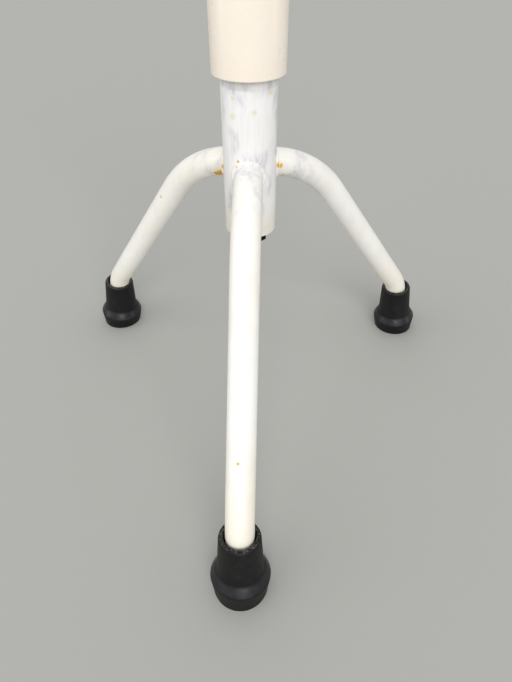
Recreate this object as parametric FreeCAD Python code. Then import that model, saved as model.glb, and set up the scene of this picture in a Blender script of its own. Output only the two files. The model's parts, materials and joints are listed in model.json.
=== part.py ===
"""Tripod support stand: a welded three-legged base, a telescoping column and a support rod.

Millimetres, +Z up. The floor is z = 0 and the origin is the middle of the footprint. The shapes
are drawn about the column's axis and moved to it, COLUMN_Y behind the origin, as they are saved.
The front leg points along -Y. The clamp screw is at the back, along +Y.
"""

import FreeCAD, Part
import math
import os

V = FreeCAD.Vector
UP = V(0, 0, 1)
BACK = V(0, 1, 0)
ORIGIN = V(0, 0, 0)

# Base column: a steel tube, closed at the bottom by a plate and at the top by a guide bush.
COLUMN_R = 15.0
COLUMN_WALL = 2.0
COLUMN_BOTTOM = 146.0
COLUMN_TOP = 380.0
PLATE_THICK = 5.0
PLATE_RECESS = 1.0

# Legs: bent steel tubes, coped to the column and welded.
LEG_R = 8.0
LEG_WALL = 1.5
LEG_HEIGHT = 183.0  # where the tube's axis meets the column's surface
LEG_START_DEG = 12.3  # slope below the horizontal at the column
LEG_SLOPE_DEG = 52.0  # slope of the straight
LEG_END_DEG = 82.6  # slope in the ferrule
LEG_TOP_BEND_R = 84.0
LEG_FOOT_BEND_R = 41.0
LEG_END_LENGTH = 35.0  # straight stretch that ends at the floor
REAR_LEG_SPLAY_DEG = 54.3  # each rear leg from straight back
WELD_LEG = 2.4

# Ferrules: rubber tips with a steel disc under the tube's end.
FERRULE_HEIGHT = 44.0
FERRULE_BASE_R = 17.2
FERRULE_SOLE_R = 15.7
FERRULE_BASE_HEIGHT = 11.4
FERRULE_SHOULDER_HEIGHT = 17.2
FERRULE_BARREL_R = 13.2
FERRULE_TOP_R = 11.6
FERRULE_FLOOR = 7.0
DISC_THICK = 1.5
SOLE_GROOVES = ((4.5, 6.5), (9.5, 11.5))
SOLE_GROOVE_DEPTH = 1.2

# M12 tie bolt from the bottom plate to the guide bush.
BOLT_R = 6.0
HEX_M12 = 19.0
BOLT_HEAD = 7.5
NUT_M12 = 10.0
BOLT_BELOW_TOP = 0.5
BOLT_HOLE_GAP = 0.3
WASHER_R = 11.0
WASHER_THICK = 1.5

# Sleeve: the upper column, which slides and turns on the base column.
SLEEVE_R = 19.25
SLEEVE_WALL = 2.5
SLEEVE_BOTTOM = 232.5
SLEEVE_TOP = 416.0
RUNNING_GAP = 0.1
GUIDE_RING_HEIGHT = 22.0
CIRCLIP_WIRE_R = 0.8
CIRCLIP_SEAT = 0.15  # the wire's centre lies this far inside the sleeve's bore
CIRCLIP_OPENING_DEG = 30.0
BUSH_LAND = 20.0
BUSH_NECK = 30.0
BUSH_NECK_GAP = 0.05

# Cap and support rod. The rod's lower end is an M10 stud, locked by a thin nut.
CAP_FLANGE = 4.0
ROD_R = 6.0
ROD_TOP = 650.0
STUD_R = 5.0
STUD_ENGAGEMENT = 15.0
HEX_M10 = 16.0
THIN_NUT_M10 = 6.0
ROD_WASHER_R = 10.0
CAP_SCREW_R = 1.6
CAP_SCREW_HEAD_R = 3.0
CAP_SCREW_HEAD = 1.2
CAP_SCREW_DOME_R = 4.4
CAP_SCREW_LENGTH = 7.0

# Clamp screw: an M6 screw through a boss on the sleeve, with a pad that bears on the column.
CLAMP_Z = 270.0
SCREW_R = 3.0
BOSS_R = 7.0
BOSS_LENGTH = 9.0
PAD_R = 4.5
PAD_THICK = 3.0
PAD_BORE_R = 4.8
PAD_BORE_END = 21.0
PAD_GAP = 0.1
KNOB_START = 30.5
KNOB_HUB = 3.0
KNOB_LENGTH = 17.0
KNOB_HUB_R = 8.0
KNOB_R = 10.5
KNOB_LOBE_R = 3.8
KNOB_LOBES = 6
INSERT_R = 5.0
SCREW_IN_KNOB = 10.0

SLEEVE_BORE_R = SLEEVE_R - SLEEVE_WALL
COLUMN_BORE_R = COLUMN_R - COLUMN_WALL
BUSH_TOP = COLUMN_TOP + BUSH_LAND


def radians(degrees):
    return math.radians(degrees)


def cylinder(radius, low, high):
    return Part.makeCylinder(radius, high - low, V(0, 0, low))


def tube(outer, inner, low, high):
    return cylinder(outer, low, high).cut(cylinder(inner, low - 1, high + 1))


def bar_back(radius, start, end, z=CLAMP_Z):
    """A round bar along +Y, between two distances from the column's axis."""
    return Part.makeCylinder(radius, end - start, V(0, start, z), BACK)


def bar_right(radius, start, end, z):
    """A round bar along +X, between two distances from the column's axis."""
    return Part.makeCylinder(radius, end - start, V(start, 0, z), V(1, 0, 0))


def revolved(points):
    """A solid turned about Z from (radius, height) points."""
    corners = [V(r, 0, h) for r, h in points]
    wire = Part.makePolygon(corners + [corners[0]])
    return Part.Face(wire).revolve(ORIGIN, UP, 360)


def hexagon(across_flats, low, high):
    """A hexagonal prism with flats on +X and -X, its outer corners chamfered at both ends."""
    corner = across_flats / math.sqrt(3)
    points = [V(corner * math.cos(radians(30 + 60 * i)), corner * math.sin(radians(30 + 60 * i)), low)
              for i in range(7)]
    prism = Part.Face(Part.makePolygon(points)).extrude(V(0, 0, high - low))
    bevel = corner - across_flats / 2
    rim = across_flats / 2
    turned = revolved([(0, low), (rim, low), (corner, low + bevel / 2), (corner, high - bevel / 2),
                       (rim, high), (0, high)])
    return prism.common(turned)


def leg_straight_length():
    """Length of the sloping straight that brings the leg from its height down to the floor."""
    start, slope, end = radians(LEG_START_DEG), radians(LEG_SLOPE_DEG), radians(LEG_END_DEG)
    bends = (LEG_TOP_BEND_R * (math.cos(start) - math.cos(slope))
             + LEG_FOOT_BEND_R * (math.cos(slope) - math.cos(end)))
    return (LEG_HEIGHT - bends - LEG_END_LENGTH * math.sin(end)) / math.sin(slope)


def heading(degrees):
    """Direction of travel down the leg, in the plane of radius (X) and height (Z)."""
    return V(math.cos(radians(degrees)), 0, -math.sin(radians(degrees)))


def bend(start, from_deg, to_deg, radius):
    """A downward arc tangent to from_deg at start, and the point where it ends."""
    def point(degrees):
        return start + V(radius * (math.sin(radians(degrees)) - math.sin(radians(from_deg))), 0,
                         -radius * (math.cos(radians(from_deg)) - math.cos(radians(degrees))))
    end = point(to_deg)
    return Part.Arc(start, point((from_deg + to_deg) / 2), end).toShape(), end


def leg_axis():
    """The leg's centre line from inside the column to the ferrule's disc, and its floor point."""
    root = V(COLUMN_R, 0, LEG_HEIGHT)
    inside = root - heading(LEG_START_DEG) * (COLUMN_R * 0.6)
    top_bend, a = bend(root, LEG_START_DEG, LEG_SLOPE_DEG, LEG_TOP_BEND_R)
    b = a + heading(LEG_SLOPE_DEG) * leg_straight_length()
    foot_bend, c = bend(b, LEG_SLOPE_DEG, LEG_END_DEG, LEG_FOOT_BEND_R)
    floor_point = c + heading(LEG_END_DEG) * LEG_END_LENGTH
    end = floor_point - heading(LEG_END_DEG) * (FERRULE_FLOOR + DISC_THICK)
    edges = [Part.LineSegment(inside, root).toShape(), top_bend,
             Part.LineSegment(a, b).toShape(), foot_bend, Part.LineSegment(c, end).toShape()]
    return Part.Wire(edges), inside, floor_point


def swept(path, start, radius):
    ring = Part.Wire(Part.makeCircle(radius, start, heading(LEG_START_DEG)))
    return path.makePipeShell([ring], True, True)


def leg():
    path, start, _ = leg_axis()
    wall = swept(path, start, LEG_R).cut(swept(path, start, LEG_R - LEG_WALL))
    return wall.cut(cylinder(COLUMN_R, 0, COLUMN_TOP))


def weld_ring(tube_r, size, root, direction, body_r):
    """A fillet weld around a round tube that meets a cylinder of radius body_r about Z."""
    ring = revolved([(tube_r, size), (tube_r + size * 0.8, 0), (tube_r + size * 1.2, -size),
                     (tube_r + size * 1.2, -3 * size), (tube_r, -3 * size)])
    ring.Placement = FreeCAD.Placement(root, FreeCAD.Rotation(UP, direction))
    low, high = root.z - 40, root.z + 40
    return ring.cut(cylinder(body_r, low, high))


def leg_weld():
    root = V(COLUMN_R, 0, LEG_HEIGHT)
    ring = weld_ring(LEG_R, WELD_LEG, root, heading(LEG_START_DEG), COLUMN_R)
    path, start, _ = leg_axis()
    return ring.cut(swept(path, start, LEG_R))


def on_leg_end(shape):
    """Moves a shape drawn up Z from the floor onto the leg's end, leaning in with it."""
    _, _, floor_point = leg_axis()
    shape.Placement = FreeCAD.Placement(floor_point, FreeCAD.Rotation(UP, heading(LEG_END_DEG) * -1))
    return shape


def ferrule():
    lip = 1.2  # rounding of the rim
    flare = 1.6  # widening of the bore above the leg's straight end
    below = 3.0  # trimmed off by the floor, so that a leaning ferrule still stands flat
    profile = [(0, -below), (FERRULE_SOLE_R, -below), (FERRULE_SOLE_R, 0.6),
               (FERRULE_BASE_R, FERRULE_BASE_HEIGHT), (FERRULE_BASE_R - 0.5, FERRULE_BASE_HEIGHT + 1.0),
               (FERRULE_BARREL_R + 1.3, FERRULE_SHOULDER_HEIGHT - 1.0),
               (FERRULE_BARREL_R + 0.5, FERRULE_SHOULDER_HEIGHT),
               (FERRULE_BARREL_R - 0.1, FERRULE_SHOULDER_HEIGHT + 1.8),
               (FERRULE_TOP_R, FERRULE_HEIGHT - lip), (FERRULE_TOP_R - lip, FERRULE_HEIGHT),
               (LEG_R + flare, FERRULE_HEIGHT), (LEG_R + flare - 0.3, FERRULE_HEIGHT - 1.0),
               (LEG_R, LEG_END_LENGTH), (LEG_R, FERRULE_FLOOR), (0, FERRULE_FLOOR)]
    body = on_leg_end(revolved(profile))
    _, _, floor_point = leg_axis()
    reach = 2 * FERRULE_BASE_R
    body = body.cut(Part.makeBox(2 * reach, 2 * reach, reach, floor_point - V(reach, reach, reach)))
    for inner, outer in SOLE_GROOVES:
        groove = tube(outer, inner, -1, SOLE_GROOVE_DEPTH)
        groove.translate(floor_point)
        body = body.cut(groove)
    return body


def ferrule_disc():
    return on_leg_end(cylinder(LEG_R - 0.3, FERRULE_FLOOR, FERRULE_FLOOR + DISC_THICK))


def column_tube():
    return tube(COLUMN_R, COLUMN_BORE_R, COLUMN_BOTTOM, COLUMN_TOP)


def column_end_plate():
    low = COLUMN_BOTTOM + PLATE_RECESS
    return tube(COLUMN_BORE_R, BOLT_R + BOLT_HOLE_GAP, low, low + PLATE_THICK)


def tie_bolt():
    seat = COLUMN_BOTTOM + PLATE_RECESS
    head = hexagon(HEX_M12, seat - BOLT_HEAD, seat)
    return head.fuse(cylinder(BOLT_R, seat, BUSH_TOP - BOLT_BELOW_TOP)).removeSplitter()


def counterbore_floor():
    """The nut's recess in the top of the guide bush."""
    return BUSH_TOP - WASHER_THICK - NUT_M12 - BOLT_BELOW_TOP


def column_guide_bush():
    land = tube(SLEEVE_BORE_R - RUNNING_GAP, BOLT_R + BOLT_HOLE_GAP, COLUMN_TOP, BUSH_TOP)
    neck = tube(COLUMN_BORE_R - BUSH_NECK_GAP, BOLT_R + BOLT_HOLE_GAP, COLUMN_TOP - BUSH_NECK, COLUMN_TOP)
    recess = cylinder(WASHER_R + 0.5, counterbore_floor(), BUSH_TOP)
    return land.fuse(neck).cut(recess).removeSplitter()


def tie_washer():
    low = counterbore_floor()
    return tube(WASHER_R, BOLT_R + BOLT_HOLE_GAP, low, low + WASHER_THICK)


def tie_nut():
    low = counterbore_floor() + WASHER_THICK
    return hexagon(HEX_M12, low, low + NUT_M12).cut(cylinder(BOLT_R, 0, BUSH_TOP))


def guide_ring_low():
    return SLEEVE_BOTTOM + 2.0 + 2 * CIRCLIP_WIRE_R + RUNNING_GAP


def guide_ring():
    low = guide_ring_low()
    return tube(SLEEVE_BORE_R - RUNNING_GAP, COLUMN_R + RUNNING_GAP, low, low + GUIDE_RING_HEIGHT)


def circlip_heights():
    low = guide_ring_low() - RUNNING_GAP - CIRCLIP_WIRE_R
    high = guide_ring_low() + GUIDE_RING_HEIGHT + RUNNING_GAP + CIRCLIP_WIRE_R
    return low, high


def circlip_groove(z):
    return Part.makeTorus(SLEEVE_BORE_R - CIRCLIP_SEAT, CIRCLIP_WIRE_R, V(0, 0, z))


def circlip(z):
    """A wire ring, open at the front so that it can be sprung into its groove."""
    turn = 360 - CIRCLIP_OPENING_DEG
    ring = Part.makeTorus(SLEEVE_BORE_R - CIRCLIP_SEAT, CIRCLIP_WIRE_R, ORIGIN, UP, 0, 360, turn)
    ring.rotate(ORIGIN, UP, CIRCLIP_OPENING_DEG / 2 - 90)
    ring.translate(V(0, 0, z))
    return ring


def cap_screws():
    """Three dome-headed screws around the cap, as one group."""
    z = (BUSH_TOP + SLEEVE_TOP) / 2
    screws = []
    for turn in (-90, 30, 150):
        shank = bar_right(CAP_SCREW_R, SLEEVE_R - CAP_SCREW_LENGTH, SLEEVE_R, z)
        dome = Part.makeSphere(CAP_SCREW_DOME_R, V(SLEEVE_R + CAP_SCREW_HEAD - CAP_SCREW_DOME_R, 0, z))
        head = dome.common(bar_right(CAP_SCREW_HEAD_R, SLEEVE_R - 0.3, SLEEVE_R + 3, z))
        screw = shank.fuse(head)
        screw.rotate(ORIGIN, UP, turn)
        screws.append(screw.removeSplitter())
    return Part.makeCompound(screws)


def sleeve_tube():
    body = tube(SLEEVE_R, SLEEVE_BORE_R, SLEEVE_BOTTOM, SLEEVE_TOP)
    outer_edges = [e for e in body.Edges if abs(e.BoundBox.XMax - SLEEVE_R) < 0.01
                   and abs(e.BoundBox.ZMin - SLEEVE_BOTTOM) < 0.01 and e.BoundBox.ZLength < 0.01]
    body = body.makeFillet(0.8, outer_edges)
    for z in circlip_heights():
        body = body.cut(circlip_groove(z))
    body = body.cut(bar_back(PAD_BORE_R, 0, SLEEVE_R + 2))
    return body.cut(cap_screws())


def mast_cap():
    body = cylinder(SLEEVE_BORE_R, BUSH_TOP, SLEEVE_TOP).fuse(
        cylinder(SLEEVE_R, SLEEVE_TOP, SLEEVE_TOP + CAP_FLANGE)).removeSplitter()
    rim = [e for e in body.Edges if abs(e.BoundBox.ZMin - SLEEVE_TOP - CAP_FLANGE) < 0.01
           and abs(e.BoundBox.XMax - SLEEVE_R) < 0.01]
    body = body.makeFillet(1.5, rim)
    body = body.cut(cylinder(STUD_R, rod_seat() - STUD_ENGAGEMENT, rod_seat()))
    return body.cut(cap_screws())


def rod_seat():
    return SLEEVE_TOP + CAP_FLANGE


def rod_washer():
    return tube(ROD_WASHER_R, STUD_R + 0.3, rod_seat(), rod_seat() + WASHER_THICK)


def rod_lock_nut():
    low = rod_seat() + WASHER_THICK
    return hexagon(HEX_M10, low, low + THIN_NUT_M10).cut(cylinder(STUD_R, 0, ROD_TOP))


def rod_shoulder():
    return rod_seat() + WASHER_THICK + THIN_NUT_M10


def support_rod():
    stud = cylinder(STUD_R, rod_seat() - STUD_ENGAGEMENT, rod_shoulder())
    body = cylinder(ROD_R, rod_shoulder(), ROD_TOP)
    tip = [e for e in body.Edges if abs(e.BoundBox.ZMin - ROD_TOP) < 0.01]
    return body.makeFillet(1.5, tip).fuse(stud)


def clamp_boss():
    boss = bar_back(BOSS_R, SLEEVE_R - 4, SLEEVE_R + BOSS_LENGTH)
    rim = [e for e in boss.Edges if abs(e.BoundBox.YMin - SLEEVE_R - BOSS_LENGTH) < 0.01]
    boss = boss.makeFillet(1.0, rim)
    boss = boss.cut(cylinder(SLEEVE_R, CLAMP_Z - 20, CLAMP_Z + 20))
    boss = boss.cut(bar_back(PAD_BORE_R, 0, PAD_BORE_END))
    return boss.cut(bar_back(SCREW_R + 0.05, 0, SLEEVE_R + BOSS_LENGTH + 1))


def boss_weld():
    root = V(0, SLEEVE_R, CLAMP_Z)
    ring = weld_ring(BOSS_R, 1.5, root, BACK, SLEEVE_R)
    return ring.cut(bar_back(BOSS_R, 0, SLEEVE_R + BOSS_LENGTH))


def pad_start():
    return COLUMN_R + PAD_GAP


def pressure_pad():
    return bar_back(PAD_R, pad_start(), pad_start() + PAD_THICK)


def lock_screw():
    return bar_back(SCREW_R, pad_start() + PAD_THICK, KNOB_START + SCREW_IN_KNOB)


def knob_insert():
    insert = bar_back(INSERT_R, KNOB_START, KNOB_START + SCREW_IN_KNOB + 1)
    return insert.cut(bar_back(SCREW_R, 0, KNOB_START + SCREW_IN_KNOB))


def knob_crown(grip_start, grip_end):
    """The envelope of the knob's grip: a disc with chamfered edges, turned about the screw."""
    reach = KNOB_R + KNOB_LOBE_R
    chamfer = 2.0
    outline = [(0, grip_start), (reach - chamfer, grip_start), (reach, grip_start + chamfer),
               (reach, grip_end - chamfer), (reach - chamfer, grip_end), (0, grip_end)]
    corners = [V(r, y, CLAMP_Z) for r, y in outline]
    face = Part.Face(Part.makePolygon(corners + [corners[0]]))
    return face.revolve(V(0, 0, CLAMP_Z), BACK, 360)


def lock_knob():
    hub = bar_back(KNOB_HUB_R, KNOB_START, KNOB_START + KNOB_HUB + 1)
    grip_start = KNOB_START + KNOB_HUB
    grip_end = KNOB_START + KNOB_LENGTH
    grip = bar_back(KNOB_R, grip_start, grip_end)
    for i in range(KNOB_LOBES):
        turn = radians(360 / KNOB_LOBES * i)
        centre = V(KNOB_R * math.cos(turn), grip_start, CLAMP_Z + KNOB_R * math.sin(turn))
        grip = grip.fuse(Part.makeCylinder(KNOB_LOBE_R, grip_end - grip_start, centre, BACK))
    body = grip.common(knob_crown(grip_start, grip_end)).fuse(hub).removeSplitter()
    return body.cut(bar_back(INSERT_R, 0, KNOB_START + SCREW_IN_KNOB + 1))


def leg_turns():
    """Each leg's name and its turn about the column, from +X."""
    return (("front", -90.0), ("left", 90.0 + REAR_LEG_SPLAY_DEG), ("right", 90.0 - REAR_LEG_SPLAY_DEG))


def footprint_middle():
    """How far the column's axis stands behind the middle of the footprint."""
    feet = {}
    for name, turn in leg_turns():
        foot = ferrule()
        foot.rotate(ORIGIN, UP, turn)
        feet[name] = foot.optimalBoundingBox(False)
    return -(feet["front"].YMin + feet["left"].YMax) / 2


def save(name, shape):
    moved = shape.copy()
    moved.translate(V(0, COLUMN_Y, 0))
    assert moved.isValid(), name
    assert all(s.isValid() and s.isClosed() for s in moved.Solids) and moved.Solids, name
    moved.exportStep(os.path.join("parts", name + ".step"))


COLUMN_Y = footprint_middle()


def main():
    os.makedirs("parts", exist_ok=True)
    leg_pieces = {"leg": leg, "leg_weld": leg_weld, "ferrule": ferrule, "ferrule_disc": ferrule_disc}
    for name, turn in leg_turns():
        for prefix, make in leg_pieces.items():
            piece = make()
            piece.rotate(ORIGIN, UP, turn)
            save(prefix + "_" + name, piece)
    low, high = circlip_heights()
    save("circlip_lower", circlip(low))
    save("circlip_upper", circlip(high))
    for make in (column_tube, column_end_plate, tie_bolt, tie_washer, tie_nut, column_guide_bush,
                 guide_ring, sleeve_tube, mast_cap, cap_screws, rod_washer, rod_lock_nut, support_rod,
                 clamp_boss, boss_weld, pressure_pad, lock_screw, lock_knob, knob_insert):
        save(make.__name__, make())
    print("column axis at y =", round(COLUMN_Y, 4))


main()
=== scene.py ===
"""The looks of the tripod support stand: its modelled pieces, finishes, studio and camera. Metres, +Z up."""

import json
import math
import random

import bmesh
import bpy
from mathutils import Matrix, Vector


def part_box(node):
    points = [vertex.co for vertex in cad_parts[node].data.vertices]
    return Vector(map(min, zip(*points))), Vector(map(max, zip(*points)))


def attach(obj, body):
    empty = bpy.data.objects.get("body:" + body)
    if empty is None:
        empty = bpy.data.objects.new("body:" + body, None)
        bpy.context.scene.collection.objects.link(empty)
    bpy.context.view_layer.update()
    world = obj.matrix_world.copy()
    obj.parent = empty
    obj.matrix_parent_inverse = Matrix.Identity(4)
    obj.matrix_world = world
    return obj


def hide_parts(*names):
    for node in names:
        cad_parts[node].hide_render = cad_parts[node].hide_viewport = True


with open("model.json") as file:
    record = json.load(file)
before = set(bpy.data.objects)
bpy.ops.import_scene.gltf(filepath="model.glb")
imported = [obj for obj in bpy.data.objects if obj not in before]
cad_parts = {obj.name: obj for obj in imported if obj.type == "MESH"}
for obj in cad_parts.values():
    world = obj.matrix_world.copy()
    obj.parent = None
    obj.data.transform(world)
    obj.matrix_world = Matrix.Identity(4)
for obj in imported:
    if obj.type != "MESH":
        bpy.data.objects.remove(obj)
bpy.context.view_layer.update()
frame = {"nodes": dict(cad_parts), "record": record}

MM = 0.001
UP = Vector((0, 0, 1))
BACK = Vector((0, 1, 0))

# The column's axis and size, from the frame.
COLUMN_LOW, COLUMN_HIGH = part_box("column_tube")
AXIS = Vector(((COLUMN_LOW.x + COLUMN_HIGH.x) / 2, (COLUMN_LOW.y + COLUMN_HIGH.y) / 2, 0))
COLUMN_R = (COLUMN_HIGH.x - COLUMN_LOW.x) / 2
COLUMN_WALL = 2 * MM
SLEEVE_LOW, SLEEVE_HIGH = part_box("sleeve_tube")
SLEEVE_R = (SLEEVE_HIGH.y - SLEEVE_LOW.y) / 2
SLEEVE_WALL = 2.5 * MM
CLAMP_Z = sum(c.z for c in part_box("lock_screw")) / 2

# Bent legs: the same bends as the frame's tubes.
LEG_R = 8 * MM
LEG_HEIGHT = 183 * MM
LEG_SLOPES = [math.radians(d) for d in (12.3, 52, 82.6)]
LEG_BEND_RADII = (84 * MM, 41 * MM)
LEG_END_LENGTH = 35 * MM
LEG_FLOOR_GAP = 8.5 * MM  # the tube ends on the ferrule's steel disc
LEG_TURNS = {"front": -90, "left": 144.3, "right": 35.7}
LEG_BEAD_R = 1.4 * MM

# The cap's screws: a low dome with a hexagon socket, let a little into the sleeve.
CAP_SCREW_R = 3 * MM
CAP_SCREW_RISE = 1.2 * MM
CAP_SCREW_ROOT = 0.8 * MM
CAP_SCREW_SOCKET_R = 1.25 * MM
CAP_SCREW_TURNS = (-90, 30, 150)

# The paint is most rubbed round this place, just above the legs' welds.
WORN_ABOUT = AXIS + UP * 200 * MM

# Marks on the paint: turn about the axis in degrees, then out from it, up from the floor and radius in mm.
RUST_LEFT_WELD = [(170, 17, 178, 2.2), (163, 18.5, 177, 2.5), (160, 21, 176, 2.3), (184, 15, 183.5, 1.5)]
RUST_RIGHT_WELD = [(0, 16.5, 184.5, 1.7), (8, 18, 183, 1.3), (19, 20, 176, 0.8)]
RUST_FRONT_WELD = [(248, 15, 192, 0.6), (247, 16.5, 189.5, 0.5)]
RUST_ON_LEGS = [(150.5, 70, 147.5, 0.9), (269.5, 129, 81.5, 0.7)]
RUST_SPOTS = RUST_LEFT_WELD + RUST_RIGHT_WELD + RUST_FRONT_WELD + RUST_ON_LEGS
YELLOW_SPOTS = [(240, 15, 223.5, 1.3), (238, 15, 215, 1.7), (283, 15, 217.5, 1.4),
                (321, 15, 226, 1.8), (53, 15, 208, 1.5), (143, 15, 219, 1.2)]

# Rubber ferrules, measured up the leg's end from the floor. Two ring grooves are moulded in the sole.
FERRULE_HEIGHT = 44 * MM
FERRULE_BASE_R = 17.2 * MM
FERRULE_BASE_HEIGHT = 11.4 * MM
FERRULE_SHOULDER_HEIGHT = 17.2 * MM
FERRULE_BARREL_R = 13.2 * MM
FERRULE_TOP_R = 11.6 * MM
FERRULE_SOLE_R = 15.7 * MM
FERRULE_BELOW_FLOOR = 4 * MM  # cut off again, so that a leaning ferrule stands flat
FERRULE_BORE_FLOOR = 20 * MM  # below this the rubber is drawn solid round the leg's end
SOLE_GROOVES = ((9.5 * MM, 11.5 * MM), (4.5 * MM, 6.5 * MM))
SOLE_GROOVE_DEPTH = 1.2 * MM

# The boss on the back of the sleeve, and the six-lobed knob on its screw.
BOSS_ROOT_DEPTH = 3 * MM  # how far its end is let into the sleeve's wall
BOSS_BORE_R = 3.1 * MM
BOSS_BORE_DEPTH = 6 * MM
BOSS_BEAD_R = 1.3 * MM
KNOB_HUB = 3 * MM
KNOB_STEPS_PER_LOBE = 8
KNOB_SIDES = 6 * KNOB_STEPS_PER_LOBE
KNOB_VALLEY = ((1, 0.985), (2, 0.935), (3, 0.865), (4, 0.83))  # steps from a crest, share of its radius
SCREW_PITCH = 1 * MM


# ---------------------------------------------------------------- modelling by hand, in code

def begin(name, add, **settings):
    """Adds a primitive with nothing else selected, bakes its place into its mesh and names it."""
    bpy.ops.object.select_all(action="DESELECT")
    add(**settings)
    piece = bpy.context.object
    bpy.ops.object.transform_apply()
    piece.name = name
    piece.data.name = name
    return piece


def edit(piece):
    """Opens a piece in edit mode."""
    bpy.context.view_layer.objects.active = piece
    bpy.ops.object.mode_set(mode="EDIT")
    bpy.ops.mesh.select_mode(type="VERT")


def leave_edit():
    bpy.ops.object.mode_set(mode="OBJECT")


def pick(piece, kind, test):
    """In edit mode, selects only the verts, edges or faces that pass the test."""
    modes = {"verts": "VERT", "edges": "EDGE", "faces": "FACE"}
    bpy.ops.mesh.select_mode(type=modes[kind])
    bpy.ops.mesh.select_all(action="DESELECT")
    mesh = bmesh.from_edit_mesh(piece.data)
    for item in getattr(mesh, kind):
        if test(item):
            item.select_set(True)
    mesh.select_flush_mode()
    bmesh.update_edit_mesh(piece.data)


def faces_towards(piece, direction, least=0.99):
    """In edit mode, selects the faces that look that way."""
    pick(piece, "faces", lambda f: f.normal.dot(direction) > least)


def clean_up():
    """In edit mode, merges doubles and turns every face outwards."""
    bpy.ops.mesh.select_all(action="SELECT")
    bpy.ops.mesh.remove_doubles(threshold=0.005 * MM)
    bpy.ops.mesh.normals_make_consistent(inside=False)


def extrude_by(step):
    bpy.ops.mesh.extrude_region_move(TRANSFORM_OT_translate={"value": step})


def apply_modifier(piece, kind, **settings):
    """Adds a modifier with its settings and applies it."""
    bpy.context.view_layer.objects.active = piece
    modifier = piece.modifiers.new(kind.title(), kind)
    for name, value in settings.items():
        setattr(modifier, name, value)
    bpy.ops.object.modifier_apply(modifier=modifier.name)


def round_edges(piece, width, segments=3, sharper_than=25):
    """Rounds the edges whose faces turn by more than that many degrees."""
    apply_modifier(piece, "BEVEL", width=width, segments=segments, limit_method="ANGLE",
                   angle_limit=math.radians(sharper_than), use_clamp_overlap=True)


def smooth(piece, sharper_than=35):
    """Shades a piece smooth, except over edges that turn by more than that many degrees."""
    bpy.ops.object.select_all(action="DESELECT")
    piece.select_set(True)
    bpy.context.view_layer.objects.active = piece
    bpy.ops.object.shade_smooth_by_angle(angle=math.radians(sharper_than))


def move_to(piece, matrix):
    """Places a piece, with its place kept in its mesh."""
    piece.data.transform(matrix)
    piece.data.update()
    return piece


def copy_of(piece, name):
    """A twin with its own mesh."""
    twin = piece.copy()
    twin.data = piece.data.copy()
    twin.name = name
    twin.data.name = name
    bpy.context.scene.collection.objects.link(twin)
    return twin


def remove(piece):
    bpy.data.objects.remove(piece)


def turned(name, outline, steps=96):
    """A lathe-turned solid: its outline of (radius, height) points is spun about the Z axis."""
    first = Vector((outline[0][0], 0, outline[0][1]))
    piece = begin(name, bpy.ops.mesh.primitive_plane_add, size=MM, location=first)
    edit(piece)
    bpy.ops.mesh.select_all(action="SELECT")
    bpy.ops.mesh.merge(type="CENTER")
    at = first
    for radius, height in outline[1:]:
        to = Vector((radius, 0, height))
        extrude_by(to - at)
        at = to
    bpy.ops.mesh.select_all(action="SELECT")
    bpy.ops.mesh.spin(steps=steps, angle=2 * math.pi, center=(0, 0, 0), axis=(0, 0, 1))
    clean_up()
    leave_edit()
    return piece


def tube(name, outer, inner, low, high, sides=128):
    """A round tube about the column's axis: a cylinder whose ends are inset and bored through."""
    middle = AXIS + UP * (low + high) / 2
    piece = begin(name, bpy.ops.mesh.primitive_cylinder_add, vertices=sides, radius=outer,
                  depth=high - low, location=middle)
    edit(piece)
    pick(piece, "faces", lambda f: abs(f.normal.z) > 0.99)
    bpy.ops.mesh.inset(thickness=outer - inner)
    bpy.ops.mesh.bridge_edge_loops()
    clean_up()
    leave_edit()
    return piece


def about_axis(turn_degrees):
    """From a shape drawn about Z at the origin to its place about the column's axis."""
    return Matrix.Translation(AXIS) @ Matrix.Rotation(math.radians(turn_degrees), 4, "Z")


def heading(slope):
    """Direction down a leg that runs along +X."""
    return Vector((math.cos(slope), 0, -math.sin(slope)))


def under(slope):
    """Towards the centre of a downward bend."""
    return Vector((-math.sin(slope), 0, -math.cos(slope)))


# ---------------------------------------------------------------- the base

def leg_tube():
    """A bent tube along +X, from inside the column's wall to the disc in the ferrule."""
    start_slope, slope, end_slope = LEG_SLOPES
    first_bend, second_bend = LEG_BEND_RADII
    root_depth = 2.4 * MM
    start = Vector((COLUMN_R, 0, LEG_HEIGHT)) - heading(start_slope) * root_depth
    piece = begin("leg", bpy.ops.mesh.primitive_circle_add, vertices=64, radius=LEG_R, location=start,
                  rotation=(0, math.pi / 2 + start_slope, 0))
    drop = (first_bend * (math.cos(start_slope) - math.cos(slope))
            + second_bend * (math.cos(slope) - math.cos(end_slope)))
    straight = (LEG_HEIGHT - drop - LEG_END_LENGTH * math.sin(end_slope)) / math.sin(slope)
    edit(piece)
    bpy.ops.mesh.select_all(action="SELECT")
    extrude_by(heading(start_slope) * root_depth)
    at = Vector((COLUMN_R, 0, LEG_HEIGHT))
    for bend, a, b, run in ((first_bend, start_slope, slope, straight),
                            (second_bend, slope, end_slope, LEG_END_LENGTH - LEG_FLOOR_GAP)):
        centre = at + under(a) * bend
        bpy.ops.mesh.spin(steps=24, angle=b - a, center=centre, axis=(0, -1, 0))  # spin turns left-handed
        at = centre - under(b) * bend
        extrude_by(heading(b) * run)
        at = at + heading(b) * run
    bpy.ops.mesh.select_all(action="DESELECT")
    bpy.ops.mesh.select_mode(type="EDGE")
    bpy.ops.mesh.select_non_manifold()
    bpy.ops.mesh.edge_face_add()
    clean_up()
    leave_edit()
    smooth(piece)
    floor_point = at + heading(end_slope) * LEG_FLOOR_GAP
    return piece, floor_point


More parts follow.
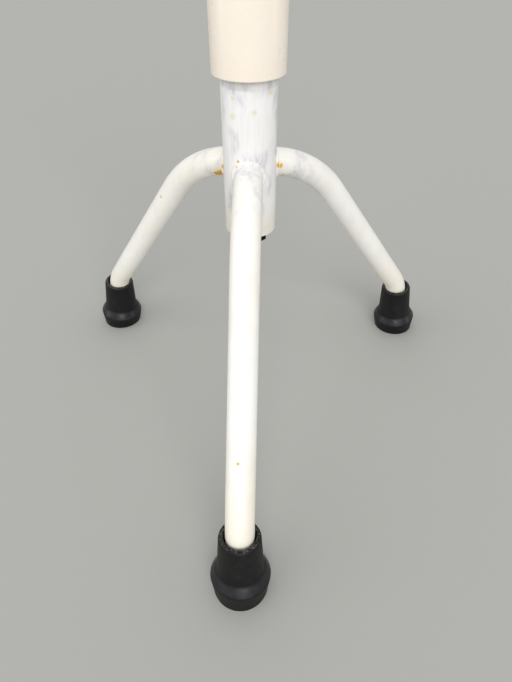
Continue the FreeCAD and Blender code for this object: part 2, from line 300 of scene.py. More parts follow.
def ferrule(floor_point):
    """A rubber tip: turned, leaned in with the leg's end and cut flat at the floor."""
    base, barrel, top = FERRULE_BASE_R, FERRULE_BARREL_R, FERRULE_TOP_R
    bore, mouth = LEG_R + 0.05 * MM, LEG_R + 1.4 * MM
    outline = [(0, -FERRULE_BELOW_FLOOR), (FERRULE_SOLE_R - 0.2 * MM, -FERRULE_BELOW_FLOOR),
               (FERRULE_SOLE_R, 0.6 * MM),
               (base, FERRULE_BASE_HEIGHT), (base - 0.5 * MM, FERRULE_BASE_HEIGHT + 1 * MM),
               (barrel + 1.3 * MM, FERRULE_SHOULDER_HEIGHT - 1 * MM),
               (barrel + 0.5 * MM, FERRULE_SHOULDER_HEIGHT),
               (barrel - 0.1 * MM, FERRULE_SHOULDER_HEIGHT + 1.8 * MM),
               (top + 0.1 * MM, FERRULE_HEIGHT - 1.6 * MM), (top - 0.5 * MM, FERRULE_HEIGHT - 0.4 * MM),
               (top - 1.2 * MM, FERRULE_HEIGHT), (mouth, FERRULE_HEIGHT),
               (LEG_R + 0.8 * MM, FERRULE_HEIGHT - 0.8 * MM), (bore, LEG_END_LENGTH),
               (bore, FERRULE_BORE_FLOOR), (0, FERRULE_BORE_FLOOR)]
    piece = turned("ferrule", outline)
    round_edges(piece, 0.45 * MM, segments=3, sharper_than=18)
    keep_height(piece)
    lean = UP.rotation_difference(-heading(LEG_SLOPES[2])).to_matrix().to_4x4()
    move_to(piece, Matrix.Translation(floor_point) @ lean)
    edit(piece)
    bpy.ops.mesh.select_all(action="SELECT")
    bpy.ops.mesh.bisect(plane_co=(0, 0, 0), plane_no=(0, 0, -1), threshold=0.0001 * MM,
                        use_fill=True, clear_outer=True)
    clean_up()
    faces_towards(piece, -UP)
    edge_r = FERRULE_SOLE_R
    for inner, outer in SOLE_GROOVES:
        bpy.ops.mesh.inset(thickness=edge_r - outer)
        bpy.ops.mesh.inset(thickness=outer - inner)
        edge_r = inner
    pick(piece, "faces", lambda f: f.normal.z < -0.99
         and in_sole_groove(f.calc_center_median() - floor_point))
    extrude_by(UP * SOLE_GROOVE_DEPTH)
    clean_up()
    leave_edit()
    smooth(piece, 40)
    return piece


def in_sole_groove(offset):
    """Whether a place on the sole, measured from its middle, is in one of the grooves."""
    return any(inner < offset.xy.length < outer for inner, outer in SOLE_GROOVES)


def keep_height(piece):
    """Stores each point's height up the piece, for patterns that follow its shape."""
    heights = piece.data.attributes.new("height", "FLOAT", "POINT")
    for point, slot in zip(piece.data.vertices, heights.data):
        slot.value = point.co.z


def weld_bead(name, ring_r, bead_r, root, direction, body_r, ripple=1.3 * MM):
    """A bead laid round a tube where it meets a round body: a ring wrapped onto it, then thickened.

    A ripple is the length of one stitch of the weld.
    """
    points = 320
    crest, unevenness = 0.08, 0.06  # how much each stitch swells the bead, as shares of its radius
    body = begin("weld_target", bpy.ops.mesh.primitive_cylinder_add, vertices=256, radius=body_r,
                 depth=0.3, location=(0, 0, root.z))
    bpy.ops.object.select_all(action="DESELECT")
    turn = UP.rotation_difference(direction).to_euler()
    bpy.ops.mesh.primitive_circle_add(vertices=points, radius=ring_r, rotation=turn,
                                      location=root + direction * ring_r * 2)
    piece = bpy.context.object
    apply_modifier(piece, "SHRINKWRAP", target=body, wrap_method="PROJECT", use_project_z=True,
                   use_positive_direction=False, use_negative_direction=True)
    remove(body)
    bpy.ops.object.select_all(action="DESELECT")
    piece.select_set(True)
    bpy.context.view_layer.objects.active = piece
    bpy.ops.object.transform_apply()
    bpy.ops.object.convert(target="CURVE")
    piece.data.bevel_depth = bead_r
    piece.data.bevel_resolution = 5
    stitches = round(2 * math.pi * ring_r / ripple)
    dice = random.Random(name)
    swell = [dice.uniform(-unevenness, unevenness) for _ in range(stitches)]
    for i, point in enumerate(piece.data.splines[0].points):
        along = i / points * stitches
        point.radius = 1 + crest * abs(math.sin(math.pi * along)) + swell[int(along) % stitches]
    bpy.ops.object.convert(target="MESH")
    piece.name = piece.data.name = name
    edit(piece)
    clean_up()
    leave_edit()
    smooth(piece, 60)
    return piece


def build_base():
    """The column, and the three legs with their welds and ferrules."""
    column = tube("column", COLUMN_R, COLUMN_R - COLUMN_WALL, COLUMN_LOW.z, COLUMN_HIGH.z)
    round_edges(column, 0.35 * MM)
    smooth(column)
    finish(column, "column_tube", "base", "column_enamel")
    leg, floor_point = leg_tube()
    foot = ferrule(floor_point)
    root = Vector((COLUMN_R, 0, LEG_HEIGHT))
    for side, turn in LEG_TURNS.items():
        place = about_axis(turn)
        tube_piece = move_to(copy_of(leg, "leg_tube_" + side), place)
        finish(tube_piece, "leg_" + side, "base", "leg_enamel")
        bead = weld_bead("weld_bead_" + side, LEG_R + 0.1 * MM, LEG_BEAD_R, root,
                         heading(LEG_SLOPES[0]), COLUMN_R)
        move_to(bead, place)
        finish(bead, "leg_weld_" + side, "base", "leg_enamel")
        tip = move_to(copy_of(foot, "rubber_tip_" + side), place)
        finish(tip, "ferrule_" + side, "base", "ferrule_rubber")
    remove(leg)
    remove(foot)


# ---------------------------------------------------------------- the mast

def build_mast():
    """The sleeve, and what is welded or screwed to it."""
    sleeve = tube("sleeve", SLEEVE_R, SLEEVE_R - SLEEVE_WALL, SLEEVE_LOW.z, SLEEVE_HIGH.z)
    round_edges(sleeve, 0.8 * MM, segments=4)
    smooth(sleeve)
    finish(sleeve, "sleeve_tube", "mast", "cream_enamel")
    build_boss()
    build_cap_screws()
    build_rod()


def build_boss():
    """The boss that the clamp screw runs in, and its weld to the sleeve."""
    low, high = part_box("clamp_boss")
    root_y = AXIS.y + SLEEVE_R - BOSS_ROOT_DEPTH
    boss_r = (high.x - low.x) / 2
    boss = begin("boss", bpy.ops.mesh.primitive_cylinder_add, vertices=64, radius=boss_r,
                 depth=high.y - root_y, location=(AXIS.x, (high.y + root_y) / 2, CLAMP_Z),
                 rotation=(math.pi / 2, 0, 0))
    edit(boss)
    faces_towards(boss, BACK)
    bpy.ops.mesh.inset(thickness=boss_r - BOSS_BORE_R)
    extrude_by(-BACK * BOSS_BORE_DEPTH)
    clean_up()
    leave_edit()
    round_edges(boss, 0.8 * MM)
    smooth(boss)
    finish(boss, "clamp_boss", "mast", "cream_enamel")
    root = Vector((0, SLEEVE_R, CLAMP_Z))
    bead = weld_bead("boss_bead", boss_r + 0.3 * MM, BOSS_BEAD_R, root, BACK, SLEEVE_R)
    move_to(bead, Matrix.Translation(AXIS))
    finish(bead, "boss_weld", "mast", "cream_enamel")


def build_cap_screws():
    """Three dome-headed screws round the cap, each with a hexagon socket, joined into one piece."""
    low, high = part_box("cap_screws")
    ball_r = (CAP_SCREW_R ** 2 + CAP_SCREW_RISE ** 2) / (2 * CAP_SCREW_RISE)
    rim = math.asin(CAP_SCREW_R / ball_r)
    arc = [rim * step / 5 for step in range(5, -1, -1)]
    outline = [(0, -CAP_SCREW_ROOT), (CAP_SCREW_R, -CAP_SCREW_ROOT)]
    outline += [(ball_r * math.sin(a), ball_r * math.cos(a) - ball_r + CAP_SCREW_RISE) for a in arc]
    head = turned("cap_screw", outline, steps=48)
    hexagon = begin("hexagon_key", bpy.ops.mesh.primitive_cylinder_add, vertices=6,
                    radius=CAP_SCREW_SOCKET_R, depth=2 * MM, location=(0, 0, 1.3 * MM))
    apply_modifier(head, "BOOLEAN", operation="DIFFERENCE", object=hexagon, solver="EXACT")
    remove(hexagon)
    smooth(head, 30)
    level = Matrix.Translation((SLEEVE_R, 0, (low.z + high.z) / 2)) @ Matrix.Rotation(math.pi / 2, 4, "Y")
    heads = [move_to(copy_of(head, "cap_screw_heads"), about_axis(turn) @ level) for turn in CAP_SCREW_TURNS]
    remove(head)
    bpy.ops.object.select_all(action="DESELECT")
    for each in heads:
        each.select_set(True)
    bpy.context.view_layer.objects.active = heads[0]
    bpy.ops.object.join()
    finish(heads[0], "cap_screws", "mast", "zinc_steel")


def build_rod():
    """The support rod, from its lock nut up, with a rounded tip."""
    low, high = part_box("support_rod")
    radius = (high.x - low.x) / 2
    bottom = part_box("rod_lock_nut")[1].z
    rod = begin("rod", bpy.ops.mesh.primitive_cylinder_add, vertices=96, radius=radius,
                depth=high.z - bottom, location=AXIS + UP * (high.z + bottom) / 2)
    edit(rod)
    faces_towards(rod, UP)
    bpy.ops.mesh.bevel(offset=1.5 * MM, segments=6)
    clean_up()
    leave_edit()
    smooth(rod)
    finish(rod, "support_rod", "mast", "ground_steel")


# ---------------------------------------------------------------- the clamp knob and screw

def build_clamp():
    build_knob()
    build_lock_screw()


def build_knob():
    """A six-lobed hand knob with a crowned face and a sunk round centre, on a short hub."""
    low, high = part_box("lock_knob")
    reach = (high.x - low.x) / 2
    grip = high.y - low.y - KNOB_HUB
    knob = begin("knob", bpy.ops.mesh.primitive_cylinder_add, vertices=KNOB_SIDES, radius=reach, depth=grip)
    edit(knob)
    for step, share in KNOB_VALLEY:
        pick(knob, "verts", lambda v: steps_from_crest(v.co) == step)
        bpy.ops.transform.resize(value=(share, share, 1))
    # Each end: a rounded shoulder, a crown, a round middle, and then the sunk centre or the hub.
    for side, rise, centre_r in ((UP, 0.9 * MM, 5.4 * MM), (-UP, 0.4 * MM, 5.8 * MM)):
        faces_towards(knob, side)
        bpy.ops.mesh.inset(thickness=1.6 * MM)
        bpy.ops.transform.translate(value=side * rise)
        bpy.ops.mesh.inset(thickness=1.2 * MM)
        bpy.ops.mesh.inset(thickness=1.4 * MM)
        bpy.ops.transform.tosphere(value=1)
        width = knob_face_radius(knob)
        bpy.ops.transform.resize(value=(centre_r / width, centre_r / width, 1))
        bpy.ops.mesh.inset(thickness=0.5 * MM)
        extrude_by(-side * 1.2 * MM if side == UP else side * (KNOB_HUB - rise))
        bpy.ops.mesh.inset(thickness=0.6 * MM)
        bpy.ops.mesh.inset(thickness=1.2 * MM)
    clean_up()
    leave_edit()
    round_edges(knob, 0.35 * MM, segments=2, sharper_than=45)
    apply_modifier(knob, "SUBSURF", levels=2, render_levels=2)
    smooth(knob, 60)
    stand_back = Matrix.Rotation(-math.pi / 2, 4, "X")
    move_to(knob, Matrix.Translation((AXIS.x, low.y + KNOB_HUB + grip / 2, CLAMP_Z)) @ stand_back)
    finish(knob, "lock_knob", "clamp", "moulded_knob")


def steps_from_crest(co):
    """How many steps round the knob a vertex is from the nearest lobe's crest."""
    step = round(math.atan2(co.y, co.x) / (2 * math.pi) * KNOB_SIDES) % KNOB_STEPS_PER_LOBE
    return min(step, KNOB_STEPS_PER_LOBE - step)


def knob_face_radius(piece):
    """How far the chosen vertices reach from the axis."""
    mesh = bmesh.from_edit_mesh(piece.data)
    return max(math.hypot(v.co.x, v.co.y) for v in mesh.verts if v.select)


def build_lock_screw():
    """The clamp's M6 screw: one turn of its thread, repeated along it by a screw modifier."""
    low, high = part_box("lock_screw")
    outer = (high.x - low.x) / 2
    core = outer - 0.6 * SCREW_PITCH
    turns = math.floor((high.y - low.y) / SCREW_PITCH) - 1
    screw = begin("lock_screw_thread", bpy.ops.mesh.primitive_plane_add, size=MM, location=(core, 0, 0))
    edit(screw)
    bpy.ops.mesh.select_all(action="SELECT")
    bpy.ops.mesh.merge(type="CENTER")
    # Up one flank, along the crest and down the other flank, in shares of the pitch.
    for across, along in ((outer - core, 0.44), (0, 0.12), (core - outer, 0.44)):
        extrude_by((across, 0, along * SCREW_PITCH))
    leave_edit()
    apply_modifier(screw, "SCREW", axis="Z", angle=2 * math.pi, screw_offset=SCREW_PITCH, iterations=turns,
                   steps=40, render_steps=40, use_merge_vertices=True, merge_threshold=0.01 * MM)
    edit(screw)
    bpy.ops.mesh.select_all(action="DESELECT")
    bpy.ops.mesh.select_mode(type="EDGE")
    bpy.ops.mesh.select_non_manifold()
    bpy.ops.mesh.edge_face_add()
    clean_up()
    leave_edit()
    smooth(screw, 30)
    stand_back = Matrix.Rotation(-math.pi / 2, 4, "X")
    move_to(screw, Matrix.Translation((AXIS.x, low.y, CLAMP_Z)) @ stand_back)
    finish(screw, "lock_screw", "clamp", "zinc_steel")


# ---------------------------------------------------------------- finishes

def srgb(code):
    """A hex colour as linear red, green, blue, alpha."""
    values = [int(code[i:i + 2], 16) / 255 for i in (0, 2, 4)]
    return [v / 12.92 if v <= 0.04045 else ((v + 0.055) / 1.055) ** 2.4 for v in values] + [1]


def add(tree, kind, inputs, output=0, **settings):
    """Adds a node with its settings, gives its sockets values or links, and returns one of its outputs."""
    node = tree.nodes.new("ShaderNode" + kind)
    for name, value in settings.items():
        setattr(node, name, value)
    for socket, value in inputs.items():
        if isinstance(value, bpy.types.NodeSocket):
            tree.links.new(value, node.inputs[socket])
        else:
            node.inputs[socket].default_value = value
    return node.outputs[output]


def new_material(name, values):
    """A material with some of its shader's sockets set, and the place on the object for its patterns."""
    material = bpy.data.materials.new(name)
    material.use_nodes = True
    tree = material.node_tree
    shader = tree.nodes["Principled BSDF"]
    for socket, value in values.items():
        shader.inputs[socket].default_value = value
    return material, tree, shader, add(tree, "TexCoord", {}, "Object")


def surface(tree, shader, colour, roughness, normal):
    """Gives a shader its finished patterns."""
    for socket, source in (("Base Color", colour), ("Roughness", roughness), ("Normal", normal)):
        tree.links.new(source, shader.inputs[socket])


def patches(tree, place, size, low, high, least=0.0, most=1.0, detail=3, stretch=1, roughness=0.5):
    """Soft patches about size across, drawn out along Z by stretch: most inside them, least between."""
    drawn = add(tree, "Mapping", {"Vector": place, "Scale": (1, 1, 1 / stretch)})
    lumps = add(tree, "TexNoise", {"Vector": drawn, "Scale": 1 / size, "Detail": detail,
                                   "Roughness": roughness})
    return add(tree, "MapRange", {"Value": lumps, "From Min": low, "From Max": high,
                                  "To Min": least, "To Max": most}, interpolation_type="SMOOTHSTEP")


def layered(tree, colour, layers):
    """Paints each layer's tint, a hex code or a node's colour, over those before it where its mask is 1."""
    for mask, tint in layers:
        over = srgb(tint) if isinstance(tint, str) else tint
        colour = add(tree, "Mix", {"Factor": mask, 6: colour, 7: over}, 2, data_type="RGBA")
    return colour


def relief(tree, heights):
    """A normal from several reliefs on top of each other, each with its depth in metres."""
    normal = None
    for height, depth in heights:
        sockets = {"Height": height, "Strength": 1.0, "Distance": depth}
        if normal is not None:
            sockets["Normal"] = normal
        normal = add(tree, "Bump", sockets)
    return normal


def blots(tree, place, spots, ragged, reach=1.0, soft=0.15):
    """Ragged blots of a list: 1 inside them, 0 outside. A longer reach gives their pale halo."""
    raggedness, regain = 1.2, 0.45  # in radii: how far noise pushes an edge in, and what is given back
    share = 0.0
    for turn, out, up, radius in spots:
        centre = about_axis(turn) @ (Vector((out, 0, up)) * MM)
        edge = (regain + reach) * radius * MM
        blur = soft * radius * MM
        away = add(tree, "VectorMath", {0: place, 1: centre}, "Value", operation="DISTANCE")
        pushed = add(tree, "Math", {0: ragged, 1: raggedness * radius * MM, 2: away},
                     operation="MULTIPLY_ADD")
        blot = add(tree, "MapRange", {"Value": pushed, "From Min": edge + blur, "From Max": edge - blur},
                   interpolation_type="SMOOTHSTEP")
        share = add(tree, "Math", {0: blot, 1: share}, operation="MAXIMUM")
    return share


def smudges(tree, place, amount):
    """Blue-grey rub marks: soft clouds drawn out along the tube, with finer scratches inside them."""
    clouds = patches(tree, place, 10 * MM, 0.48, 0.72, stretch=2)
    scratches = patches(tree, place, 1.3 * MM, 0.35, 0.7, least=0.35, detail=4, stretch=4, roughness=0.6)
    inside = add(tree, "Math", {0: clouds, 1: scratches}, operation="MULTIPLY")
    return add(tree, "Math", {0: inside, 1: amount}, operation="MULTIPLY")


def specks(tree, place):
    """Where drops dried on the paint: blurred blots, each thin in places."""
    fray = add(tree, "TexNoise", {"Vector": place, "Scale": 1 / (1 * MM), "Detail": 4, "Roughness": 0.75})
    drops = blots(tree, place, YELLOW_SPOTS, fray, soft=0.55)
    thin = patches(tree, place, 0.8 * MM, 0.35, 0.65, least=0.25, most=0.8)
    return add(tree, "Math", {0: drops, 1: thin}, operation="MULTIPLY")


def enamel(name, white, aged, aged_from, aged_to, rub, sleeve_grime_and_shade_z=None):
    """White enamel brushed on steel: satin and a little uneven, so that it looks hand painted and old.

    It yellows from one height to the other, is rubbed blue-grey near the column, has dried specks on it
    and rusts where the welds broke through. From just below the sleeve's lower edge upwards, if that height
    is given, it is greyed: partly grime from the sleeve that slides on it, partly a painted shadow of the
    sleeve.
    """
    material, tree, shader, place = new_material(name, {"Specular IOR Level": 0.45})
    height = add(tree, "SeparateXYZ", {"Vector": place}, "Z")
    lower = add(tree, "MapRange", {"Value": height, "From Min": aged_from, "From Max": aged_to,
                                   "To Min": 0, "To Max": 0.7}, interpolation_type="SMOOTHSTEP")
    yellowing = add(tree, "Math", {0: patches(tree, place, 45 * MM, 0.4, 0.72, most=0.5), 1: lower},
                    operation="ADD", use_clamp=True)
    away = add(tree, "VectorMath", {0: place, 1: WORN_ABOUT}, "Value", operation="DISTANCE")
    near = add(tree, "MapRange", {"Value": away, "From Min": 65 * MM, "From Max": 30 * MM,
                                  "To Min": 0.1, "To Max": rub}, interpolation_type="SMOOTHSTEP")
    # A brush's bristles leave lines about 0.3 mm apart, drawn here at 1.2 mm so that they show.
    strokes = patches(tree, place, 1.2 * MM, 0.45, 0.75, most=0.28, stretch=14)
    streaks = add(tree, "Math", {0: strokes, 1: near}, operation="MULTIPLY")
    rubbed = smudges(tree, place, near)
    layers = [(yellowing, aged), (streaks, "C9C9D8"), (rubbed, "A9A9BC")]
    # Painted shade: from just below the sleeve's edge upwards, grey ABA59C is laid in patches, partly grime
    # from the sliding sleeve and partly the sleeve's shadow painted on.
    if sleeve_grime_and_shade_z is not None:
        above = add(tree, "MapRange", {"Value": height, "From Min": sleeve_grime_and_shade_z - 5.5 * MM,
                                       "From Max": sleeve_grime_and_shade_z - 4.5 * MM}, interpolation_type="SMOOTHSTEP")
        patchy = patches(tree, place, 5 * MM, 0.3, 0.6, 0.12, 0.35, detail=4)
        layers.append((add(tree, "Math", {0: above, 1: patchy}, operation="MULTIPLY"), "ABA59C"))
    ragged = add(tree, "TexNoise", {"Vector": place, "Scale": 1 / (1.6 * MM), "Detail": 4, "Roughness": 0.7})
    rust = blots(tree, place, RUST_SPOTS, ragged)
    halo = add(tree, "Math", {0: blots(tree, place, RUST_SPOTS, ragged, reach=1.9), 1: 0.35},
               operation="MULTIPLY")
    stain = layered(tree, srgb("E4AC33"), [(patches(tree, place, 0.9 * MM, 0.54, 0.68), "9A4C1D")])
    layers += [(specks(tree, place), "E0D096"), (halo, "EBCF98"), (rust, stain)]
    worn = add(tree, "Math", {0: rubbed, 1: rust}, operation="ADD", use_clamp=True)
    satin = patches(tree, place, 6 * MM, 0.35, 0.7, 0.3, 0.42)
    roughness = add(tree, "Math", {0: worn, 1: 0.3, 2: satin}, operation="MULTIPLY_ADD")
    along = add(tree, "Mapping", {"Vector": place, "Scale": (1, 1, 1 / 3)})
    brushed = add(tree, "TexNoise", {"Vector": along, "Scale": 1 / (1.6 * MM), "Detail": 2})
    uneven = add(tree, "TexNoise", {"Vector": place, "Scale": 1 / (9 * MM), "Detail": 1})
    scabs = add(tree, "Math", {0: rust, 1: ragged}, operation="MULTIPLY")
    normal = relief(tree, [(brushed, 0.04 * MM), (uneven, 0.2 * MM), (scabs, 0.3 * MM)])
    surface(tree, shader, layered(tree, srgb(white), layers), roughness, normal)
    return material


def cream_enamel(name):
    """Stove enamel: a smooth even ivory, with a soft gloss and the faintest orange peel."""
    material, tree, shader, place = new_material(name, {"Coat Weight": 0.25, "Coat Roughness": 0.2})
    tone = patches(tree, place, 60 * MM, 0.35, 0.7)
    rubbed = add(tree, "Math", {0: patches(tree, place, 5 * MM, 0.55, 0.75, detail=5),
                                1: patches(tree, place, 30 * MM, 0.5, 0.65, most=0.06)}, operation="MULTIPLY")
    colour = layered(tree, srgb("FBF1E3"), [(tone, "F8ECDC"), (rubbed, "CDBFA6")])
    gloss = patches(tree, place, 9 * MM, 0.3, 0.75, 0.26, 0.36)
    peel = add(tree, "TexNoise", {"Vector": place, "Scale": 1 / (0.9 * MM), "Detail": 1})
    surface(tree, shader, colour, gloss, relief(tree, [(peel, 0.012 * MM)]))
    return material


def rubber(name):
    """Moulded black rubber: matt, with grey dust, a smoother shoulder lifted by a painted highlight, and a
    pale line on the rim that is partly dust and partly a painted highlight.
    """
    material, tree, shader, place = new_material(name, {"Specular IOR Level": 0.25})
    height = add(tree, "Attribute", {}, "Fac", attribute_name="height")
    dust = patches(tree, place, 6 * MM, 0.45, 0.75, detail=5, roughness=0.65)
    above_base = add(tree, "MapRange", {"Value": height, "From Min": FERRULE_BASE_HEIGHT,
                                        "From Max": FERRULE_BASE_HEIGHT + 1.2 * MM},
                     interpolation_type="SMOOTHSTEP")
    below_barrel = add(tree, "MapRange", {"Value": height, "From Min": FERRULE_SHOULDER_HEIGHT + 0.4 * MM,
                                          "From Max": FERRULE_SHOULDER_HEIGHT - 1.8 * MM},
                       interpolation_type="SMOOTHSTEP")
    # The shoulder band: smoother, and painted a paler blue-grey (2C2C31) as a highlight where it catches the
    # light.
    shoulder_and_highlight = add(tree, "Math", {0: above_base, 1: below_barrel}, operation="MULTIPLY")
    at_rim = add(tree, "MapRange", {"Value": height, "From Min": FERRULE_HEIGHT - 0.7 * MM,
                                    "From Max": FERRULE_HEIGHT - 0.1 * MM}, interpolation_type="SMOOTHSTEP")
    # Partly dust and partly painted highlight: a pale speckled line (857E70) along the rim's top edge, where
    # the lip catches the light.
    rim_dust_and_highlight = patches(tree, place, 1.1 * MM, 0.5, 0.62, most=0.5, detail=4, roughness=0.7)
    layers = [(add(tree, "Math", {0: dust, 1: 0.35}, operation="MULTIPLY"), "292826"),
              (add(tree, "Math", {0: shoulder_and_highlight, 1: 0.5}, operation="MULTIPLY"), "2C2C31"),
              (add(tree, "Math", {0: at_rim, 1: rim_dust_and_highlight}, operation="MULTIPLY"), "857E70")]
    matt = add(tree, "MapRange", {"Value": dust, "To Min": 0.5, "To Max": 0.75},
               interpolation_type="SMOOTHSTEP")
    roughness = add(tree, "Math", {0: shoulder_and_highlight, 1: -0.22, 2: matt}, operation="MULTIPLY_ADD")
    # The mould's grain is about 0.1 mm, drawn here at 0.5 mm so that it shows.
    grain = add(tree, "TexNoise", {"Vector": place, "Scale": 1 / (0.5 * MM), "Detail": 3})
    dents = add(tree, "TexNoise", {"Vector": place, "Scale": 1 / (4 * MM), "Detail": 2})
    normal = relief(tree, [(grain, 0.03 * MM), (dents, 0.12 * MM)])
    surface(tree, shader, layered(tree, srgb("0B0B0C"), layers), roughness, normal)
    return material


def lathe_place(tree, place):
    """Distance from the column's axis and height, on which a pattern runs in rings round a turned part."""
    across = add(tree, "VectorMath", {0: place, 1: AXIS}, operation="SUBTRACT")
    level = add(tree, "VectorMath", {0: across, 1: (1, 1, 0)}, operation="MULTIPLY")
    radius = add(tree, "VectorMath", {0: level}, "Value", operation="LENGTH")
    return add(tree, "CombineXYZ", {"X": radius, "Z": add(tree, "SeparateXYZ", {"Vector": across}, "Z")})


def metal(name, colour, darker, roughness, grain_size, depth, in_rings=False):
    """A bare metal: two close tones, the grain left by how it was cut or plated, and faint handling marks."""
    material, tree, shader, place = new_material(name, {"Metallic": 1.0})
    grain = add(tree, "TexNoise", {"Vector": lathe_place(tree, place) if in_rings else place,
                                   "Scale": 1 / grain_size, "Detail": 4})
    tone = add(tree, "MapRange", {"Value": grain, "From Min": 0.35, "From Max": 0.65},
               interpolation_type="SMOOTHSTEP")
    handled = patches(tree, place, 11 * MM, 0.45, 0.75, detail=5)
    dulled = add(tree, "Math", {0: handled, 1: 0.35}, operation="MULTIPLY")
    sheen = add(tree, "MapRange", {"Value": grain, "From Min": 0.3, "From Max": 0.7,
                                   "To Min": roughness - 0.07, "To Max": roughness + 0.04},
                interpolation_type="SMOOTHSTEP")
    rough = add(tree, "Math", {0: handled, 1: 0.12, 2: sheen}, operation="MULTIPLY_ADD")
    tinted = layered(tree, srgb(colour), [(tone, darker), (dulled, darker)])
    surface(tree, shader, tinted, rough, relief(tree, [(grain, depth)]))
    return material


def plastic(name, colour, paler, roughness, grain_size, depth):
    """A solid plastic: one colour under a fine grain, a little paler where it is handled."""
    material, tree, shader, place = new_material(name, {})
    handled = patches(tree, place, 7 * MM, 0.45, 0.7, most=0.5, detail=4)
    grain = add(tree, "TexNoise", {"Vector": place, "Scale": 1 / grain_size, "Detail": 2})
    rough = add(tree, "MapRange", {"Value": grain, "From Min": 0.3, "From Max": 0.7,
                                   "To Min": roughness - 0.06, "To Max": roughness + 0.08},
                interpolation_type="SMOOTHSTEP")
    tinted = layered(tree, srgb(colour), [(handled, paler)])
    surface(tree, shader, tinted, rough, relief(tree, [(grain, depth)]))
    return material


def make_finishes():
    """Every finish of the stand. Where a grain is drawn coarser than it is, that is so that it shows."""
    return {
        # Column: the whitest paint, yellowed at its foot, the most rubbed, greyed just under the sleeve by
        # grime and a painted shadow.
        "column_enamel": enamel("brushed_enamel_scuffed", "F3F2F1", "ECE6D8", 168 * MM, 146 * MM,
                                rub=0.75, sleeve_grime_and_shade_z=SLEEVE_LOW.z),
        # Legs and welds: the same paint, warmer towards the feet.
        "leg_enamel": enamel("brushed_enamel_leg", "F3F1EC", "EDE7D6", 85 * MM, 45 * MM, rub=0.65),
        "cream_enamel": cream_enamel("stove_enamel_cream"),
        "ferrule_rubber": rubber("moulded_rubber"),
        # Rod: bright with fine rings, ground 0.05 mm apart and drawn 0.35 mm apart.
        "ground_steel": metal("ground_stainless_steel", "D2D2D0", "C9C9C7", 0.2, 0.35 * MM, 0.001 * MM,
                              in_rings=True),
        # Screws, nuts, washers and discs: a soft bluish shine, clouded by the plating's own 1 mm mottle.
        "zinc_steel": metal("zinc_plated_steel", "C6C8C8", "B3B7B6", 0.33, 1.2 * MM, 0.008 * MM),
        # Circlips and tie bolt: near black, with an oiled sheen over the oxide's mottle.
        "black_steel": metal("blackened_steel", "2A2A2B", "1A1A1A", 0.42, 0.8 * MM, 0.01 * MM),
        # Cap: pale and satin, turned in rings 0.15 mm apart that are drawn 0.5 mm apart.
        "turned_aluminium": metal("turned_aluminium", "D4D4D3", "BEBEBD", 0.3, 0.5 * MM, 0.006 * MM,
                                  in_rings=True),
        # Bush, guide ring and pad: milky and dull, with 0.1 mm tool marks drawn at 0.5 mm.
        "acetal": plastic("turned_acetal", "E6E3D8", "D5D0C0", 0.42, 0.5 * MM, 0.01 * MM),
        # Knob: charcoal with a matt sparkle, from a 0.1 mm spark-eroded grain drawn at 0.35 mm.
        "moulded_knob": plastic("moulded_black_plastic", "161718", "35352F", 0.45, 0.35 * MM, 0.02 * MM),
        # Knob's insert: warm yellow, cut bright.
        "brass": metal("turned_brass", "C8A15A", "A9823F", 0.3, 0.4 * MM, 0.005 * MM),
    }


def finish(piece, node, body, material):
    """Hands a modelled piece to the frame: the node it stands for, its body and its finish."""
    piece.data.materials.clear()
    piece.data.materials.append(FINISHES[material])
    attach(piece, body)
    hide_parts(node)


def dress_frame_nodes():
    """The frame's own pieces that stay in sight get the finish of their material slot."""
    by_slot = {"zinc_steel": "zinc_steel", "black_steel": "black_steel", "acetal": "acetal",
               "turned_aluminium": "turned_aluminium", "brass_insert": "brass", "white_paint": "leg_enamel",
               "cream_paint": "cream_enamel", "ferrule_rubber": "ferrule_rubber",
               "ground_steel": "ground_steel", "black_plastic": "moulded_knob"}
    slots = {part["node"]: part["material_slot"] for part in frame["record"]["subparts"]}
    for name, node in frame["nodes"].items():
        node.data.materials.clear()
        node.data.materials.append(FINISHES[by_slot[slots[name]]])


# ---------------------------------------------------------------- studio

# Soft light from wide suns: name, the way it shines, its angle in degrees, its power.
SUNS = [("key_light", (-0.2, 0.9, -0.52), 40, 1.68),
        ("fill_light", (0.9, 0.45, -0.6), 60, 0.6),
        ("back_light", (0.1, -0.7, -0.6), 60, 0.35)]
# Upright strips on either side, seen only as long reflections in the metal and paint: name, place in metres.
STRIPS = [("left_strip", (-0.8, -0.15, 0.5)), ("right_strip", (0.8, -0.1, 0.5))]


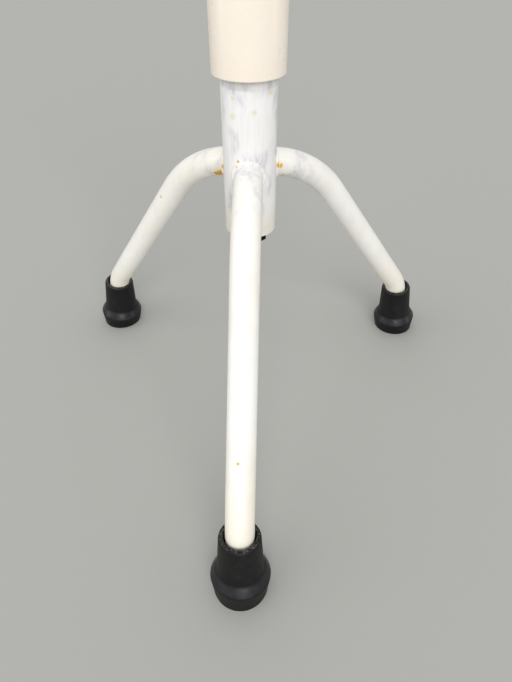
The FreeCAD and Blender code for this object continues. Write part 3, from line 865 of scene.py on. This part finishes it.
def add_lamp(name, kind, power, at, towards):
    """A lamp that stands at a place and shines in a direction."""
    light = bpy.data.lights.new(name, kind)
    light.energy = power
    lamp = bpy.data.objects.new(name, light)
    lamp.location = at
    lamp.rotation_mode = "QUATERNION"
    lamp.rotation_quaternion = towards.to_track_quat("-Z", "Y")
    bpy.context.scene.collection.objects.link(lamp)
    return lamp


def build_studio():
    """A plain pale floor with no shine, even air and soft lights."""
    bpy.ops.object.select_all(action="DESELECT")
    bpy.ops.mesh.primitive_plane_add(size=60)
    floor = bpy.context.object
    floor.name = "studio_floor"
    paper = new_material("paper_backdrop", {"Base Color": srgb("ABABA7"), "Roughness": 1.0,
                                            "Specular IOR Level": 0.0})[0]
    floor.data.materials.append(paper)
    world = bpy.data.worlds.new("studio_air")
    world.use_nodes = True
    air = world.node_tree.nodes["Background"]
    air.inputs["Color"].default_value = srgb("F7F7F7")
    air.inputs["Strength"].default_value = 0.74
    bpy.context.scene.world = world
    for name, towards, softness, power in SUNS:
        sun = add_lamp(name, "SUN", power, AXIS - Vector(towards), Vector(towards))
        sun.data.angle = math.radians(softness)
    for name, stand in STRIPS:
        at = AXIS + Vector(stand)
        strip = add_lamp(name, "AREA", 1.0, at, AXIS + UP * stand[2] - at)
        strip.data.shape = "RECTANGLE"
        strip.data.size, strip.data.size_y = 0.16, 1.0
        strip.visible_camera = False
        strip.visible_diffuse = False


def build_camera():
    """Stands a short arm's length in front of the column and looks down at its foot."""
    camera_data = bpy.data.cameras.new("camera")
    camera_data.lens = 27.98
    camera_data.sensor_width = 36
    camera = bpy.data.objects.new("camera", camera_data)
    place = Matrix.Translation(AXIS + Vector((15.1 * MM, -290.7 * MM, 306.5 * MM)))
    down, turn, roll = math.radians(41.15), math.radians(2.38), math.radians(-0.26)
    camera.matrix_world = (place @ Matrix.Rotation(turn, 4, "Z")
                           @ Matrix.Rotation(math.pi / 2 - down, 4, "X") @ Matrix.Rotation(roll, 4, "Z"))
    bpy.context.scene.collection.objects.link(camera)
    bpy.context.scene.camera = camera
    bpy.context.scene.view_settings.view_transform = "Standard"


FINISHES = make_finishes()
build_camera()
build_studio()
dress_frame_nodes()
build_base()
build_mast()
build_clamp()
